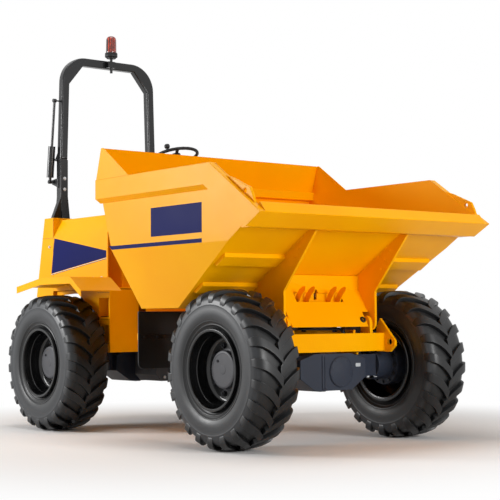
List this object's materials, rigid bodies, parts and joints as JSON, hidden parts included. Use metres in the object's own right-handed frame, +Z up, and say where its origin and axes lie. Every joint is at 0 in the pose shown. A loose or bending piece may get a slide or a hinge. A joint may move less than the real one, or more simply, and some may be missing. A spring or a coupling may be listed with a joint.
{
  "type": "site dumper",
  "caption": "Articulated four-wheel site dumper with a forward-tipping open skip, rear operator's seat and a folding roll bar.",
  "frame": {"origin": "on the ground under the centre pivot, midway between the axles", "axes": "+X forward, +Y to the operator's left, +Z up"},
  "size_m": [3.954, 2.296, 3.645],
  "materials": {
    "yellow_paint": "gloss site-yellow two-pack paint",
    "black_paint": "satin black paint",
    "axle_paint": "satin blue-grey paint",
    "engine_iron": "painted casting",
    "tyre_rubber": "moulded rubber",
    "wheel_paint": "satin black paint",
    "flap_rubber": "moulded sheet",
    "seat_vinyl": "stitched vinyl",
    "rod_chrome": "polished",
    "steering_plastic": "moulded",
    "beacon_lens": "amber-red lens"
  },
  "bodies": {
    "rear_frame": {"rear_chassis": "yellow_paint", "rear_axle": "axle_paint", "engine_block": "engine_iron", "gearbox": "engine_iron", "counterweight": "yellow_paint", "operator_floor": "yellow_paint", "step_right": "yellow_paint", "step_left": "yellow_paint", "body_side_right": "yellow_paint", "body_side_left": "yellow_paint", "fender_right": "yellow_paint", "fender_left": "yellow_paint", "seat_frame": "black_paint", "seat_cushion": "seat_vinyl", "seat_back": "seat_vinyl", "dashboard": "black_paint", "control_levers": "yellow_paint", "fuel_tank": "black_paint", "rops_mount_right": "black_paint", "rops_mount_left": "black_paint"},
    "bonnet_lid": {"bonnet": "yellow_paint"},
    "steering_wheel": {"steering_wheel": "steering_plastic"},
    "roll_bar": {"rops_hoop": "black_paint", "beacon": "beacon_lens"},
    "strut_barrel": {"rops_strut_barrel": "black_paint"},
    "strut_rod": {"rops_strut_rod": "black_paint"},
    "front_frame": {"front_chassis": "yellow_paint", "front_axle": "axle_paint", "mud_flap_right": "flap_rubber", "mud_flap_left": "flap_rubber"},
    "steer_barrel": {"steer_ram_barrel": "black_paint"},
    "steer_rod": {"steer_ram_rod": "rod_chrome"},
    "skip": {"skip_tub": "yellow_paint", "skip_rim": "yellow_paint", "skip_headboard": "yellow_paint", "skip_legs": "yellow_paint"},
    "tip_barrel_right": {"tip_ram_barrel_right": "black_paint"},
    "tip_rod_right": {"tip_ram_rod_right": "rod_chrome"},
    "tip_barrel_left": {"tip_ram_barrel_left": "black_paint"},
    "tip_rod_left": {"tip_ram_rod_left": "rod_chrome"},
    "wheel_front_right": {"tyre_front_right": "tyre_rubber", "wheel_front_right": "wheel_paint"},
    "wheel_front_left": {"tyre_front_left": "tyre_rubber", "wheel_front_left": "wheel_paint"},
    "wheel_rear_right": {"tyre_rear_right": "tyre_rubber", "wheel_rear_right": "wheel_paint"},
    "wheel_rear_left": {"tyre_rear_left": "tyre_rubber", "wheel_rear_left": "wheel_paint"}
  },
  "joints": [
    {"name": "centre_steer", "type": "hinge", "parent": "rear_frame", "child": "front_frame", "pos_m": [0, 0, 0.8], "axis": [0, 0, 1], "range_deg": [-35, 35]},
    {"name": "skip_tip", "type": "hinge", "parent": "front_frame", "child": "skip", "pos_m": [1.34, 0, 0.915], "axis": [0, 1, 0], "range_deg": [0, 75]},
    {"name": "rops_fold", "type": "hinge", "parent": "rear_frame", "child": "roll_bar", "pos_m": [-1.838, 0, 2.44], "axis": [0, -1, 0], "range_deg": [0, 95]},
    {"name": "bonnet_lift", "type": "hinge", "parent": "rear_frame", "child": "bonnet_lid", "pos_m": [-1.475, 0, 1.882], "axis": [0, 1, 0], "range_deg": [0, 60]},
    {"name": "steering_wheel_turn", "type": "hinge", "parent": "rear_frame", "child": "steering_wheel", "pos_m": [-0.644, 0, 2.392], "axis": [-0.2647, 0, 0.9643], "continuous": true},
    {"name": "wheel_front_right_spin", "type": "hinge", "parent": "front_frame", "child": "wheel_front_right", "pos_m": [1.2525, -0.8465, 0.585], "axis": [0, 1, 0], "continuous": true},
    {"name": "wheel_front_left_spin", "type": "hinge", "parent": "front_frame", "child": "wheel_front_left", "pos_m": [1.2525, 0.8465, 0.585], "axis": [0, 1, 0], "continuous": true},
    {"name": "wheel_rear_right_spin", "type": "hinge", "parent": "rear_frame", "child": "wheel_rear_right", "pos_m": [-1.2525, -0.8465, 0.585], "axis": [0, 1, 0], "continuous": true},
    {"name": "wheel_rear_left_spin", "type": "hinge", "parent": "rear_frame", "child": "wheel_rear_left", "pos_m": [-1.2525, 0.8465, 0.585], "axis": [0, 1, 0], "continuous": true},
    {"name": "strut_swing", "type": "hinge", "parent": "rear_frame", "child": "strut_barrel", "pos_m": [-1.875, -0.568, 2.235], "axis": [0, -1, 0], "range_deg": [-1, 75.54]},
    {"name": "strut_slide", "type": "slide", "parent": "strut_barrel", "child": "strut_rod", "axis": [0.1126, 0, 0.9936], "range_m": [-0.2079, 0.001]},
    {"name": "steer_barrel_swing", "type": "hinge", "parent": "rear_frame", "child": "steer_barrel", "pos_m": [-0.52, 0.25, 0.8], "axis": [0, 0, 1], "range_deg": [-5.18, 5.18]},
    {"name": "steer_rod_slide", "type": "slide", "parent": "steer_barrel", "child": "steer_rod", "axis": [0.9997, -0.024, 0], "range_m": [-0.1414, 0.1414]},
    {"name": "tip_barrel_swing_right", "type": "hinge", "parent": "front_frame", "child": "tip_barrel_right", "pos_m": [0.42, -0.185, 0.76], "axis": [0, 1, 0], "range_deg": [-1, 4.71]},
    {"name": "tip_rod_slide_right", "type": "slide", "parent": "tip_barrel_right", "child": "tip_rod_right", "axis": [0.9008, 0, 0.4342], "range_m": [-0.001, 0.3486]},
    {"name": "tip_barrel_swing_left", "type": "hinge", "parent": "front_frame", "child": "tip_barrel_left", "pos_m": [0.42, 0.185, 0.76], "axis": [0, 1, 0], "range_deg": [-1, 4.71]},
    {"name": "tip_rod_slide_left", "type": "slide", "parent": "tip_barrel_left", "child": "tip_rod_left", "axis": [0.9008, 0, 0.4342], "range_m": [-0.001, 0.3486]}
  ],
  "couplings": [
    {"joint": "strut_swing", "follows": "rops_fold", "ratio": 0.78465},
    {"joint": "strut_slide", "follows": "rops_fold", "m_per_rad": -0.12359},
    {"joint": "steer_barrel_swing", "follows": "centre_steer", "ratio": 0.13373},
    {"joint": "steer_rod_slide", "follows": "centre_steer", "m_per_rad": -0.22826},
    {"joint": "tip_barrel_swing_right", "follows": "skip_tip", "ratio": 0.04948},
    {"joint": "tip_rod_slide_right", "follows": "skip_tip", "m_per_rad": 0.26404},
    {"joint": "tip_barrel_swing_left", "follows": "skip_tip", "ratio": 0.04948},
    {"joint": "tip_rod_slide_left", "follows": "skip_tip", "m_per_rad": 0.26404}
  ]
}
